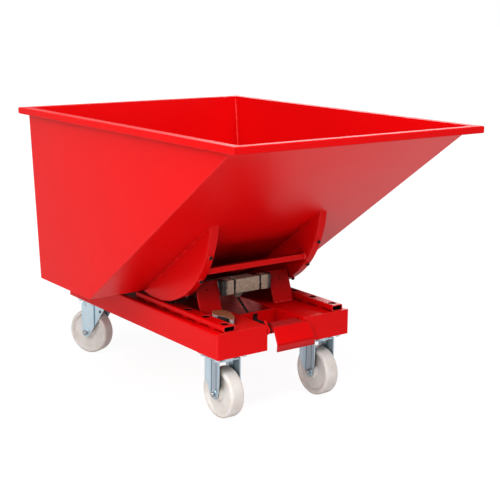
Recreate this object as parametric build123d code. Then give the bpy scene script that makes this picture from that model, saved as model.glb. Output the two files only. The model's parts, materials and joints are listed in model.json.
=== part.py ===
from build123d import *
import os
from math import atan2, cos, hypot, radians, sin, tan

# Tipping hopper on a castor base. Millimetres, +Z up, the pouring lip towards -Y.
# Left and right are as seen from the front. Y counts from the front face of the
# base while the parts are shaped and is centred when they are saved.

# Wheels and castors
wheel_diameter = 160
wheel_width = 50
wheel_shoulder_radius = 9
wheel_dish_depth = 8
wheel_rim_depth = 20
wheel_hub_diameter = 52
wheel_hub_proud = 4
bush_diameter = 22
axle_diameter = 12
crown_room = 50
castor_plate = 5
castor_plate_width = 130
castor_plate_length = 105
castor_plate_corner = 10
stud_spacing_x = 100
stud_spacing_y = 75
stud_diameter = 10
stud_hole_diameter = 11
stud_tail = 2
stud_nut_width = 17
stud_nut_height = 8
fork_leg = 4
fork_nose_radius = 18
castor_crown = 4
castor_race_diameter = 74
bracket_front = 33
bracket_back = 43
bracket_band_front = 10
bracket_band_back = 16
bracket_flare = 7
bracket_taper_drop = 73
axle_hex_width = 19
axle_hex_height = 8
front_castor_y = 69
rear_castor_inset = 87
castor_inset = 69
swivel_trail = 33
swivel_rest_angle = 25
swivel_crown_front = 58
swivel_crown_back = 45
swivel_bend_lead = 36
swivel_bend_run = 4
swivel_wing_set = 3
swivel_corner_drop = 6
fork_hole_diameter = 11
fork_hole_lead = 62
fork_hole_drop = 28
fork_slot_length = 14
fork_slot_width = 5
fork_slot_tilt = 54
fork_slot_inset = 19
fork_slot_drop = 11
kingpin_diameter = 16
kingpin_nut_width = 24
kingpin_nut_height = 10

# Base
base_width = 514
base_length = 955
well_width = 140
channel_height = 82
channel_plate = 5
channel_fold_radius = 8
front_wall_plate = 5
front_wall_corner = 3
well_floor_plate = 5
well_floor_drop = 42
well_plate_y = 143
well_plate_thickness = 5
well_plate_drop = 76
rod_window_width = 20
rod_window_height = 27
rod_window_top = 5
rear_plate_inset = 12
rear_plate_thickness = 6
rest_length = 40
rest_width = 70
rest_wall = 4
rest_inset = 155

# Tracks
track_width = 43
track_height = 20
track_wall = 3
track_corner = 5
track_front_y = 4
track_rear_y = 520
track_inset = 45
peg_hole_diameter = 26

# Rockers
peg_pitch = 100
peg_step = 18
peg_count = 4
first_peg_angle = 12.5
peg_diameter = 12
peg_reach = 10
peg_chamfer = 3
peg_collar_diameter = 19
peg_collar_height = 4
rocker_contact_y = 400
rocker_strip_width = 28
rocker_strip = 6
rocker_web = 5
cross_bar_width = 18
cross_bar_height = 18
cross_bar_angle = 52

# Bin
bin_width = 862
bin_height = 585
bin_sheet = 4
floor_over_track = 11
floor_front_y = 478
floor_rear_inset = 127
back_lean = 53
chute_angle = 35.5
rim_width = 26
rim_height = 22
rim_wall = 2.5
rim_corner = 4

# Latch
upright_inner_offset = 34
upright_track_gap = 6.5
upright_plate = 6
upright_y = 197
upright_lean = 20.7
upright_height = 100
latch_front_y = 204
latch_above_deck = 52
latch_height = 47
latch_half_width = 54
latch_end_gap = 6
latch_depth = 18
latch_pin_diameter = 12
latch_pin_setback = 10
latch_end_radius = 10
latch_edge_chamfer = 1.5
hook_reach = 28
hook_height = 13
hook_half_width = 34
tail_width = 18
tail_drop = 20
tail_length = 26
keeper_width = 40
keeper_plate = 12
keeper_room = 12
keeper_rise = 6
keeper_depth = 20
upright_hole_diameter = 6
upright_hole_height = 75

# Claw plate, a flat cut plate on the left of the deck
claw_thickness = 20
claw_back_y = 174
claw_length = 120
claw_track_gap = 10.5
claw_back_width = 36
claw_back_skew = 10
claw_shoulder_length = 49
claw_neck_length = 94
claw_neck_step = 16
claw_tip_step = 38
claw_tip_width = 10
claw_horn_step = 57
claw_horn_length = 20
claw_horn_setback = 32
claw_bite_step = 44

# Release flap
flap_plate = 4
flap_left = -52
flap_right = 96
flap_strip_right = 58
flap_pivot_y = 12
flap_pivot_drop = 20
flap_pin_diameter = 14
flap_sleeve_diameter = 27
flap_strip_tilt = 43
flap_strip_length = 29
flap_face_tilt = 21
flap_face_length = 44
flap_lip_tilt = -5
flap_lip_length = 22
flap_lug_plate = 7
flap_lug_radius = 15
flap_lug_rise = 30
rod_diameter = 8
rod_x = -13
rod_drop = 6
rod_bend_y = 165
rod_bend_radius = 30
rod_end_y = 238
rod_end_above_deck = 26

# Clearances
roll_gap = 0.3
rest_gap = 0.3
pin_fit = 0.05
press_fit = 0.02
wheel_side_gap = 6
bush_side_gap = 0.5
race_gap = 0.4
stud_room = 2
latch_side_gap = 3
weld_gap = 0.3

# Levels and positions that follow from the sizes above
wheel_radius = wheel_diameter / 2
base_bottom = wheel_diameter + crown_room
deck_top = base_bottom + channel_height
track_top = deck_top + track_height
castor_x = base_width / 2 - castor_inset
track_x = base_width / 2 - track_inset
track_inner = track_x - track_width / 2
well_half = well_width / 2
castor_plate_low = base_bottom - castor_plate
leg_inner = wheel_width / 2 + wheel_side_gap
leg_outer = leg_inner + fork_leg
race_height = stud_nut_height + stud_tail + stud_room
crown_top = castor_plate_low - race_height - race_gap
crown_low = crown_top - castor_crown
rear_castor_y = base_length - rear_castor_inset

rocker_radius = peg_pitch / radians(peg_step)
rocker_centre_z = track_top + roll_gap + rocker_radius
peg_angles = [first_peg_angle + peg_step * index for index in range(peg_count)]

floor_low = track_top + floor_over_track
floor_back_y = base_length - floor_rear_inset
rim_top = floor_low + bin_height
rim_low = rim_top - rim_height
back_top_y = floor_back_y + back_lean
bin_half = bin_width / 2
bin_inner_half = bin_half - bin_sheet
chute_slope = tan(radians(chute_angle))
chute_shift = bin_sheet / sin(radians(chute_angle))
rim_front_inner_y = floor_front_y + chute_shift - bin_height / chute_slope

upright_inner = well_half + upright_inner_offset
upright_width = track_inner - upright_track_gap - upright_inner
upright_slope = tan(radians(upright_lean))
latch_low = deck_top + latch_above_deck
latch_top = latch_low + latch_height
latch_pin_y = latch_front_y + latch_pin_setback
latch_pin_z = latch_low + latch_height / 2
latch_end = upright_inner - latch_end_gap
flap_pivot_z = deck_top - flap_pivot_drop
hook_tip_y = latch_front_y + latch_depth + hook_reach
claw_inner_x = track_inner - claw_track_gap - claw_horn_step

os.makedirs("parts", exist_ok=True)


def prism_x(points, x_low, x_high):
    """Solid with a (y, z) outline between two x values."""
    outline = make_face(Polyline(*points, close=True))
    return extrude(Plane.YZ.offset(x_low) * outline, amount=x_high - x_low)


def prism_z(outline, z_low, z_high):
    """Solid with an (x, y) outline between two heights."""
    return extrude(Plane.XY.offset(z_low) * outline, amount=z_high - z_low)


def block(x_range, y_range, z_range):
    """Box between a low and a high value on each axis."""
    sizes = [high - low for low, high in (x_range, y_range, z_range)]
    corner = (x_range[0], y_range[0], z_range[0])
    return Pos(*corner) * Box(*sizes, align=(Align.MIN, Align.MIN, Align.MIN))


def bar_x(radius, y, z, x_low, x_high):
    """Round bar along X."""
    base = Plane(origin=(x_low, y, z), x_dir=(0, 1, 0), z_dir=(1, 0, 0))
    return base * Cylinder(radius, x_high - x_low, align=(Align.CENTER, Align.CENTER, Align.MIN))


def pillar(radius, x, y, z_low, z_high):
    """Round bar along Z."""
    align = (Align.CENTER, Align.CENTER, Align.MIN)
    return Pos(x, y, z_low) * Cylinder(radius, z_high - z_low, align=align)


def hex_x(width, y, z, x_low, x_high):
    """Hexagonal bar along X."""
    base = Plane(origin=(x_low, y, z), x_dir=(0, 1, 0), z_dir=(1, 0, 0))
    outline = RegularPolygon(width / 2, 6, major_radius=False, rotation=30)
    return extrude(base * outline, amount=x_high - x_low)


def hex_z(width, x, y, z_low, z_high):
    """Hexagonal bar along Z."""
    outline = Pos(x, y) * RegularPolygon(width / 2, 6, major_radius=False)
    return prism_z(outline, z_low, z_high)


def mirrored(shape):
    return mirror(shape, about=Plane.YZ)


def chute_height(y):
    """Height of the chute's underside at a given y."""
    return floor_low + (floor_front_y - y) * chute_slope


# Bin


def make_bin_panels():
    """Chute, floor and back meet in mitres between the two side panels."""
    lean = atan2(back_lean, bin_height)
    floor_top = floor_low + bin_sheet
    chute_foot = (floor_front_y + chute_shift - bin_sheet / chute_slope, floor_top)
    back_shift = bin_sheet / cos(lean)
    back_foot = (floor_back_y - back_shift + bin_sheet * tan(lean), floor_top)
    front_corner = (floor_front_y, floor_low)
    back_corner = (floor_back_y, floor_low)
    lip_low = (rim_front_inner_y, chute_height(rim_front_inner_y))
    lip_top = (rim_front_inner_y, rim_top)
    back_top = (back_top_y, rim_top)
    back_top_inner = (back_top_y - back_shift, rim_top)

    chute = prism_x([front_corner, chute_foot, lip_top, lip_low], -bin_inner_half, bin_inner_half)
    floor_outline = [front_corner, back_corner, back_foot, chute_foot]
    floor = prism_x(floor_outline, -bin_inner_half, bin_inner_half)
    back_outline = [back_corner, back_top, back_top_inner, back_foot]
    back = prism_x(back_outline, -bin_inner_half, bin_inner_half)
    side_outline = [front_corner, back_corner, back_top, lip_top, lip_low]
    side = prism_x(side_outline, -bin_half, -bin_inner_half)
    return chute, floor, back, side


def make_rim_rails():
    """Four hollow rails with mitred corners round the mouth of the bin."""
    outer_half = bin_half + rim_width
    front_outer_y = rim_front_inner_y - rim_width
    back_outer_y = back_top_y + rim_width
    middle_z = (rim_low + rim_top) / 2
    hollow_width = rim_width - 2 * rim_wall
    hollow_height = rim_height - 2 * rim_wall
    section = RectangleRounded(rim_width, rim_height, rim_corner)
    section -= RectangleRounded(hollow_width, hollow_height, rim_corner - rim_wall)

    def rail(plane, length, corners):
        bar = extrude(plane * section, amount=length / 2, both=True)
        return bar & prism_z(make_face(Polyline(*corners, close=True)), rim_low, rim_top)

    middle_y = (front_outer_y + back_outer_y) / 2
    cross_length = 2 * outer_half
    side_length = back_outer_y - front_outer_y

    front_plane = Plane((0, front_outer_y + rim_width / 2, middle_z), x_dir=(0, 1, 0), z_dir=(1, 0, 0))
    front_corners = [
        (-bin_half, rim_front_inner_y),
        (bin_half, rim_front_inner_y),
        (outer_half, front_outer_y),
        (-outer_half, front_outer_y),
    ]
    back_plane = Plane((0, back_outer_y - rim_width / 2, middle_z), x_dir=(0, 1, 0), z_dir=(1, 0, 0))
    back_corners = [
        (-bin_half, back_top_y),
        (bin_half, back_top_y),
        (outer_half, back_outer_y),
        (-outer_half, back_outer_y),
    ]
    side_plane = Plane((-bin_half - rim_width / 2, middle_y, middle_z), x_dir=(1, 0, 0), z_dir=(0, -1, 0))
    side_corners = [
        (-bin_half, rim_front_inner_y),
        (-bin_half, back_top_y),
        (-outer_half, back_outer_y),
        (-outer_half, front_outer_y),
    ]
    front = rail(front_plane, cross_length, front_corners)
    back = rail(back_plane, cross_length, back_corners)
    side = rail(side_plane, side_length, side_corners)
    return front, back, side


# Rockers under the chute


def below_chute(x_low, x_high):
    """Space under the chute that the rockers fill."""
    reach = 2 * rocker_radius
    run = reach * cos(radians(chute_angle))
    rise = reach * sin(radians(chute_angle))
    upper = (floor_front_y - run, floor_low + rise)
    lower = (floor_front_y + run, floor_low - rise)
    outline = [upper, lower, (lower[0] - rise, lower[1] - run), (upper[0] - rise, upper[1] - run)]
    return prism_x(outline, x_low, x_high)


def radial_plane(x, angle, distance):
    """Plane on a rocker that faces away from its centre, angle counted from straight down."""
    out = (0, -sin(radians(angle)), -cos(radians(angle)))
    origin = (x, rocker_contact_y + distance * out[1], rocker_centre_z + distance * out[2])
    return Plane(origin=origin, x_dir=(1, 0, 0), z_dir=out)


def make_rocker():
    """Left rocker: two webs, the bent strip round them with a weld collar at each peg, and the pegs."""
    outer_x = -track_x - rocker_strip_width / 2
    inner_x = -track_x + rocker_strip_width / 2
    web_radius = rocker_radius - rocker_strip
    bottom_align = (Align.CENTER, Align.CENTER, Align.MIN)

    def disc(radius, x_low, x_high):
        return bar_x(radius, rocker_contact_y, rocker_centre_z, x_low, x_high)

    webs = []
    for x_low in (outer_x, inner_x - rocker_web):
        x_high = x_low + rocker_web
        webs.append(disc(web_radius, x_low, x_high) & below_chute(x_low, x_high))

    ring = disc(rocker_radius, outer_x, inner_x) - disc(web_radius, outer_x, inner_x)
    strip = ring & below_chute(outer_x, inner_x)
    pegs = []
    length = rocker_strip + peg_reach
    collar_length = rocker_strip / 2 + peg_collar_height
    collar = Cone(peg_collar_diameter / 2, peg_diameter / 2 + press_fit, collar_length, align=bottom_align)
    for angle in peg_angles:
        foot = radial_plane(-track_x, angle, web_radius)
        peg = Cylinder(peg_diameter / 2, length, align=bottom_align)
        peg = chamfer(peg.edges().sort_by(Axis.Z)[-1], peg_chamfer)
        pegs.append(foot * peg)
        strip += radial_plane(-track_x, angle, rocker_radius - rocker_strip / 2) * collar
        strip -= foot * Cylinder(peg_diameter / 2 + press_fit, length, align=bottom_align)
    return webs, strip, pegs


def cross_bar_ranges():
    """Y and z ranges of the bar that lies against the inside of the rocker strips."""
    distance = rocker_radius - rocker_strip - hypot(cross_bar_width, cross_bar_height) / 2
    y = rocker_contact_y - distance * sin(radians(cross_bar_angle))
    z = rocker_centre_z - distance * cos(radians(cross_bar_angle))
    y_range = (y - cross_bar_width / 2, y + cross_bar_width / 2)
    z_range = (z - cross_bar_height / 2, z + cross_bar_height / 2)
    return y_range, z_range


def make_cross_bar():
    """Bar between the inner webs of the two rockers."""
    half = track_x - rocker_strip_width / 2
    return block((-half, half), *cross_bar_ranges())


def make_keeper():
    """Arm behind the cross bar whose end hangs just behind the hook of the latch."""
    y_range, z_range = cross_bar_ranges()
    front_y = hook_tip_y + keeper_room
    back_y = front_y + keeper_plate
    low = latch_top + keeper_rise
    outline = [
        (y_range[1], z_range[0]),
        (front_y, low),
        (back_y, low),
        (back_y, low + keeper_depth),
        (y_range[1], z_range[1]),
    ]
    return prism_x(outline, -keeper_width / 2, keeper_width / 2)


# Base


def make_fork_channel():
    """Left fork channel, a folded plate open below."""
    outer_x = -base_width / 2
    inner_x = -well_half
    width = inner_x - outer_x
    outline = Rectangle(width, channel_height)
    upper = outline.vertices().group_by(Axis.Y)[-1]
    outline = fillet(upper, channel_fold_radius)
    inside = Rectangle(width - 2 * channel_plate, channel_height)
    upper = inside.vertices().group_by(Axis.Y)[-1]
    inside = fillet(upper, channel_fold_radius - channel_plate)
    section = outline - Pos(0, -channel_plate) * inside
    middle = ((outer_x + inner_x) / 2, front_wall_plate, base_bottom + channel_height / 2)
    plane = Plane(origin=middle, x_dir=(-1, 0, 0), z_dir=(0, 1, 0))
    return extrude(plane * section, amount=base_length - front_wall_plate)


def make_fork_floor():
    """Plate that closes the left fork channel below."""
    x_range = (-base_width / 2 + channel_plate, -well_half - channel_plate)
    return block(x_range, (front_wall_plate, base_length), (base_bottom, base_bottom + channel_plate))


def make_front_wall():
    """Plate across the front of the left fork channel."""
    wall = block((-base_width / 2, -well_half), (0, front_wall_plate), (base_bottom, deck_top))
    return fillet(wall.edges().filter_by(Axis.Z).group_by(Axis.Y)[0], front_wall_corner)


def make_well_parts():
    """Floor of the well, the plate across it and the plate at its rear end."""
    across = (-well_half, well_half)
    plate_back = well_plate_y + well_plate_thickness
    floor_top = deck_top - well_floor_drop
    rear_front = base_length - rear_plate_inset - rear_plate_thickness
    floor = block(across, (plate_back, rear_front), (floor_top - well_floor_plate, floor_top))
    plate = block(across, (well_plate_y, plate_back), (deck_top - well_plate_drop, deck_top))
    window_x = (rod_x - rod_window_width / 2, rod_x + rod_window_width / 2)
    window_top = deck_top - rod_window_top
    window_z = (window_top - rod_window_height, window_top)
    plate -= block(window_x, (well_plate_y, plate_back), window_z)
    rear = block(across, (rear_front, rear_front + rear_plate_thickness), (base_bottom, deck_top))
    return floor, plate, rear


def make_rests():
    """Short box sections on the deck that carry the rear of the bin floor."""
    height = floor_low - rest_gap - deck_top
    section = Rectangle(rest_length, height) - Rectangle(rest_length - 2 * rest_wall, height - 2 * rest_wall)
    rests = []
    for sign in (-1, 1):
        middle = (sign * castor_x, base_length - rest_inset, deck_top + height / 2)
        plane = Plane(origin=middle, x_dir=(0, 1, 0), z_dir=(1, 0, 0))
        rests.append(extrude(plane * section, amount=rest_width / 2, both=True))
    return rests


def make_track():
    """Left track, a rectangular tube with a hole in its top wall for each peg."""
    section = RectangleRounded(track_width, track_height, track_corner)
    inner_width = track_width - 2 * track_wall
    inner_height = track_height - 2 * track_wall
    section -= RectangleRounded(inner_width, inner_height, track_corner - track_wall)
    middle = (-track_x, track_front_y, deck_top + track_height / 2)
    plane = Plane(origin=middle, x_dir=(-1, 0, 0), z_dir=(0, 1, 0))
    track = extrude(plane * section, amount=track_rear_y - track_front_y)
    for angle in peg_angles:
        hole_y = rocker_contact_y - rocker_radius * radians(angle)
        track -= pillar(peg_hole_diameter / 2, -track_x, hole_y, track_top - track_wall, track_top)
    return track


# Latch


def upright_front(z):
    """Front face of the leaning uprights at a given height."""
    return upright_y + (z - deck_top) * upright_slope


def make_upright():
    """Left leaning upright, wider at the top where the latch end block sits."""
    top = deck_top + upright_height
    shift = upright_plate / cos(radians(upright_lean))
    outer_x = -upright_inner - upright_width

    def leaning(x_low, x_high, z_low):
        outline = [
            (upright_front(z_low), z_low),
            (upright_front(top), top),
            (upright_front(top) + shift, top),
            (upright_front(z_low) + shift, z_low),
        ]
        return prism_x(outline, x_low, x_high)

    plate = leaning(outer_x, -upright_inner, deck_top)
    plate += leaning(-upright_inner, -latch_half_width, latch_low)
    middle_z = deck_top + upright_hole_height
    middle_x = outer_x + upright_width / 2
    hole_plane = Plane((middle_x, upright_front(middle_z), middle_z), x_dir=(1, 0, 0), z_dir=(0, 1, 0))
    return plate - hole_plane * Cylinder(upright_hole_diameter / 2, 4 * upright_plate)


def make_end_block():
    """Left end block of the latch bar, welded to the front of the upright."""
    outline = [
        (latch_front_y, latch_low),
        (upright_front(latch_low), latch_low),
        (upright_front(latch_top), latch_top),
        (latch_front_y, latch_top),
    ]
    solid = prism_x(outline, -latch_end, -latch_half_width)
    outer_front = solid.edges().filter_by(Axis.Z).group_by(Axis.X)[0]
    solid = fillet(outer_front, latch_end_radius)
    bore_radius = latch_pin_diameter / 2 + press_fit
    return solid - bar_x(bore_radius, latch_pin_y, latch_pin_z, -latch_end, -latch_half_width)


def make_latch_block():
    """Centre block that turns on the latch pin, with its hook on top and its tail behind."""
    half = latch_half_width - latch_side_gap
    back_y = latch_front_y + latch_depth
    body = block((-half, half), (latch_front_y, back_y), (latch_low, latch_top))
    front_edges = body.faces().sort_by(Axis.Y)[0].edges()
    body = chamfer(front_edges, latch_edge_chamfer)
    hook_x = (-hook_half_width, hook_half_width)
    body += block(hook_x, (back_y, hook_tip_y), (latch_top - hook_height, latch_top))
    tail_outline = [
        (back_y, latch_low + tail_drop),
        (back_y, latch_low),
        (back_y + tail_length / 2, latch_low - tail_drop),
        (back_y + tail_length, latch_low - tail_drop),
        (back_y + tail_length, latch_low),
    ]
    body += prism_x(tail_outline, rod_x - tail_width / 2, rod_x + tail_width / 2)
    return body - bar_x(latch_pin_diameter / 2 + pin_fit, latch_pin_y, latch_pin_z, -half, half)


def make_latch_pin():
    return bar_x(latch_pin_diameter / 2, latch_pin_y, latch_pin_z, -latch_end, latch_end)


def make_claw():
    """Flat cut plate with two horns and a hollow edge towards the left track."""
    front_y = claw_back_y - claw_length
    horn_y = claw_back_y - claw_horn_setback
    tip = (-claw_inner_x - claw_tip_step - claw_tip_width, front_y)
    horn = (-claw_inner_x - claw_horn_step, horn_y - claw_horn_length)
    bite = (-claw_inner_x - claw_bite_step, (front_y + horn[1]) / 2)
    straight = Polyline(
        horn,
        (horn[0], horn_y),
        (-claw_inner_x - claw_back_width, claw_back_y),
        (-claw_inner_x, claw_back_y - claw_back_skew),
        (-claw_inner_x, claw_back_y - claw_shoulder_length),
        (-claw_inner_x - claw_neck_step, claw_back_y - claw_neck_length),
        (-claw_inner_x - claw_tip_step, front_y),
        tip,
    )
    outline = make_face(straight.edges() + [ThreePointArc(tip, bite, horn)])
    return prism_z(outline, deck_top, deck_top + claw_thickness)


# Release flap


def flap_points():
    """Corner points of the flap's back face from its top edge to its lip."""
    tilts = (flap_strip_tilt, flap_face_tilt, flap_lip_tilt)
    lengths = (flap_strip_length, flap_face_length, flap_lip_length)
    away = flap_sleeve_diameter / 2 + weld_gap
    strip_tilt = radians(flap_strip_tilt)
    middle_y = flap_pivot_y - away * cos(strip_tilt)
    middle_z = flap_pivot_z + away * sin(strip_tilt)
    y = middle_y + flap_strip_length / 2 * sin(strip_tilt)
    z = middle_z + flap_strip_length / 2 * cos(strip_tilt)
    points = [(y, z)]
    for tilt, length in zip(tilts, lengths):
        y -= length * sin(radians(tilt))
        z -= length * cos(radians(tilt))
        points.append((y, z))
    return points


def make_flap():
    """Bent plate in front of the well; its strip at the top is narrower than its face."""
    points = flap_points()
    line = Plane.YZ.offset(flap_right) * Polyline(*points)
    plate = make_brake_formed(flap_plate, flap_right - flap_left, line, side=Side.LEFT)
    fold_z = points[1][1]
    corner_room = block(
        (flap_strip_right, flap_right),
        (points[1][0] - 2 * flap_plate, points[0][0] + flap_plate),
        (fold_z, points[0][1] + 2 * flap_plate),
    )
    return plate - corner_room


def make_flap_sleeve():
    sleeve = bar_x(flap_sleeve_diameter / 2, flap_pivot_y, flap_pivot_z, flap_left, flap_strip_right)
    bore = bar_x(flap_pin_diameter / 2 + pin_fit, flap_pivot_y, flap_pivot_z, flap_left, flap_strip_right)
    return sleeve - bore


def make_flap_lugs():
    """Ears on the two inner channel walls that hold the flap pin; the left one stands above the deck."""
    bore_radius = flap_pin_diameter / 2 + press_fit
    lugs = []
    for sign, rise in ((-1, flap_lug_rise), (1, 0)):
        x_low, x_high = sorted((sign * well_half, sign * (well_half - flap_lug_plate)))
        lug = bar_x(flap_lug_radius, flap_pivot_y, flap_pivot_z, x_low, x_high)
        if rise:
            low = flap_pivot_z
            outline = [
                (flap_pivot_y - flap_lug_radius, low),
                (flap_pivot_y + flap_lug_radius, low),
                (flap_pivot_y + flap_lug_radius / 2, low + rise),
            ]
            lug += prism_x(outline, x_low, x_high)
        lugs.append(lug - bar_x(bore_radius, flap_pivot_y, flap_pivot_z, x_low, x_high))
    return lugs


def make_flap_pin():
    return bar_x(flap_pin_diameter / 2, flap_pivot_y, flap_pivot_z, -well_half, well_half)


def make_rod():
    """Release rod from the flap sleeve through the window and up behind the latch."""
    rod_z = flap_pivot_z - rod_drop
    corners = [
        (rod_x, flap_pivot_y, rod_z),
        (rod_x, rod_bend_y, rod_z),
        (rod_x, rod_end_y, deck_top + rod_end_above_deck),
    ]
    path = FilletPolyline(*corners, radius=rod_bend_radius)
    start = Plane(origin=corners[0], x_dir=(1, 0, 0), z_dir=(0, 1, 0))
    rod = sweep(start * Circle(rod_diameter / 2), path=path)
    sleeve = bar_x(flap_sleeve_diameter / 2, flap_pivot_y, flap_pivot_z, flap_left, flap_strip_right)
    return (rod - sleeve).solids().sort_by(SortBy.VOLUME)[-1]


# Castors


def make_castor_head():
    """Top plate of a castor round the origin, with its stud holes and the round race under it."""
    outline = RectangleRounded(castor_plate_width, castor_plate_length, castor_plate_corner)
    head = prism_z(outline, castor_plate_low, base_bottom)
    for x in (-stud_spacing_x / 2, stud_spacing_x / 2):
        for y in (-stud_spacing_y / 2, stud_spacing_y / 2):
            head -= pillar(stud_hole_diameter / 2, x, y, castor_plate_low, base_bottom)
    return head + pillar(castor_race_diameter / 2, 0, 0, castor_plate_low - race_height, castor_plate_low)


def pressed_legs(axle_y, outline, bends):
    """Pair of pressed legs: bends give the outer face as (step outwards, y) from front to back."""
    outer = [(-leg_outer - step, y) for step, y in bends]
    inner = [(x + fork_leg, y) for x, y in reversed(outer)]
    section = make_face(Polyline(*outer, *inner, close=True))
    pressed = prism_z(section, wheel_radius - fork_nose_radius, crown_top)
    shaped = pressed & extrude(Plane.YZ * outline, amount=-2 * leg_outer)
    shaped -= bar_x(axle_diameter / 2 + press_fit, axle_y, wheel_radius, -2 * leg_outer, 0)
    return shaped, mirrored(shaped)


def make_fixed_bracket():
    """Fixed castor round the origin: head, crown and two legs whose edges flare outwards."""
    taper_z = crown_top - bracket_taper_drop
    nose = Pos(0, wheel_radius) * Circle(fork_nose_radius)
    sides = Polyline(
        (-bracket_front, taper_z),
        (-bracket_front, crown_top),
        (bracket_back, crown_top),
        (bracket_back, taper_z),
    )
    outline = make_hull(nose.edges() + sides.edges())
    bends = [
        (bracket_flare, -bracket_front),
        (0, -bracket_band_front),
        (0, bracket_band_back),
        (bracket_flare, bracket_back),
    ]
    bracket = make_castor_head()
    bracket += pillar(castor_race_diameter / 2, 0, 0, crown_low, castor_plate_low)
    bracket += block((-leg_outer, leg_outer), (-bracket_front, bracket_back), (crown_low, crown_top))
    for leg in pressed_legs(0, outline, bends):
        bracket += leg
    return bracket


def make_swivel_head():
    """Head of a swivel castor with the bore for its kingpin."""
    low = castor_plate_low - race_height
    return make_castor_head() - pillar(kingpin_diameter / 2 + press_fit, 0, 0, low, base_bottom)


def make_swivel_fork():
    """Turning fork: crown plate and two legs that trail behind the kingpin."""
    leg_back = swivel_trail + fork_nose_radius
    bend_y = swivel_trail - swivel_bend_lead
    nose = Pos(swivel_trail, wheel_radius) * Circle(fork_nose_radius)
    top = Polyline(
        (-swivel_crown_front, crown_top),
        (swivel_crown_back, crown_top),
        (leg_back, crown_top - swivel_corner_drop),
    )
    outline = make_hull(nose.edges() + top.edges())
    bends = [
        (-swivel_wing_set, -swivel_crown_front),
        (-swivel_wing_set, bend_y - swivel_bend_run),
        (0, bend_y),
        (0, leg_back),
    ]
    crown_y = (-swivel_crown_front, swivel_crown_back)
    fork = block((-leg_inner, leg_inner), crown_y, (crown_low, crown_top))
    for leg in pressed_legs(swivel_trail, outline, bends):
        fork += leg
    hole_y = swivel_trail - fork_hole_lead
    fork -= bar_x(fork_hole_diameter / 2, hole_y, crown_top - fork_hole_drop, -leg_outer, leg_outer)
    slot = SlotOverall(fork_slot_length, fork_slot_width, rotation=fork_slot_tilt)
    slot_place = Plane.YZ * Pos(leg_back - fork_slot_inset, crown_top - fork_slot_drop)
    fork -= extrude(slot_place * slot, amount=leg_outer, both=True)
    return fork - pillar(kingpin_diameter / 2 + pin_fit, 0, 0, crown_low, crown_top)


def make_kingpin():
    """Pin through the head with its nut under the crown."""
    nut_top = crown_low - race_gap
    pin = pillar(kingpin_diameter / 2, 0, 0, nut_top - kingpin_nut_height, base_bottom)
    return pin + hex_z(kingpin_nut_width, 0, 0, nut_top - kingpin_nut_height, nut_top)


def make_axle(axle_y):
    """Axle bolt with its head on the left and its nut on the right."""
    end = leg_outer + axle_hex_height
    bolt = bar_x(axle_diameter / 2, axle_y, wheel_radius, -leg_outer, end)
    bolt += hex_x(axle_hex_width, axle_y, wheel_radius, -end, -leg_outer)
    nut = hex_x(axle_hex_width, axle_y, wheel_radius, leg_outer, end)
    nut -= bar_x(axle_diameter / 2 + press_fit, axle_y, wheel_radius, leg_outer, end)
    return bolt, nut


def make_wheel(axle_y):
    """Solid wheel with dished faces, turned about the axle."""
    half = wheel_width / 2
    hub_half = half + wheel_hub_proud
    bore = bush_diameter / 2 + press_fit
    hub = wheel_hub_diameter / 2
    rim_inner = wheel_radius - wheel_rim_depth
    dish = half - wheel_dish_depth
    right = [(hub_half, bore), (hub_half, hub - wheel_dish_depth), (dish, hub), (dish, rim_inner)]
    right += [(half, rim_inner + wheel_dish_depth), (half, wheel_radius)]
    left = [(-x, radius) for x, radius in reversed(right)]
    turned = revolve(make_face(Polyline(*right, *left, close=True)), Axis.X)
    tread = turned.edges().filter_by(GeomType.CIRCLE).group_by(lambda edge: edge.radius)[-1]
    return Pos(0, axle_y, wheel_radius) * fillet(tread, wheel_shoulder_radius)


def make_bush(axle_y):
    half = leg_inner - bush_side_gap
    bush = bar_x(bush_diameter / 2, axle_y, wheel_radius, -half, half)
    return bush - bar_x(axle_diameter / 2 + pin_fit, axle_y, wheel_radius, -half, half)


def make_castor_fasteners(places):
    """Welded studs under the base and the nuts that hold the castor plates."""
    studs = []
    nuts = []
    nut_low = castor_plate_low - stud_nut_height
    for centre_x, centre_y in places:
        for x in (centre_x - stud_spacing_x / 2, centre_x + stud_spacing_x / 2):
            for y in (centre_y - stud_spacing_y / 2, centre_y + stud_spacing_y / 2):
                studs.append(pillar(stud_diameter / 2, x, y, nut_low - stud_tail, base_bottom))
                nut = hex_z(stud_nut_width, x, y, nut_low, castor_plate_low)
                nuts.append(nut - pillar(stud_diameter / 2 + press_fit, x, y, nut_low, castor_plate_low))
    return studs, nuts


# Assembly

nodes = {}

chute, floor, back, side = make_bin_panels()
nodes["chute_panel"] = chute
nodes["floor_panel"] = floor
nodes["back_panel"] = back
nodes["side_panel_left"] = side
nodes["side_panel_right"] = mirrored(side)

rim_front, rim_back, rim_side = make_rim_rails()
nodes["rim_front"] = rim_front
nodes["rim_back"] = rim_back
nodes["rim_left"] = rim_side
nodes["rim_right"] = mirrored(rim_side)

webs, strip, pegs = make_rocker()
nodes["rocker_webs_left"] = webs
nodes["rocker_webs_right"] = [mirrored(web) for web in webs]
nodes["rocker_strip_left"] = strip
nodes["rocker_strip_right"] = mirrored(strip)
nodes["rocker_pegs"] = pegs + [mirrored(peg) for peg in pegs]
nodes["rocker_cross_bar"] = make_cross_bar()
nodes["latch_keeper"] = make_keeper()

for name, shape in (
    ("fork_channel", make_fork_channel()),
    ("fork_floor", make_fork_floor()),
    ("front_wall", make_front_wall()),
    ("track", make_track()),
    ("upright", make_upright()),
):
    nodes[name + "_left"] = shape
    nodes[name + "_right"] = mirrored(shape)

well_floor, well_plate, rear_plate = make_well_parts()
nodes["well_floor"] = well_floor
nodes["well_plate"] = well_plate
nodes["rear_plate"] = rear_plate
nodes["bin_rests"] = make_rests()

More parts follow.
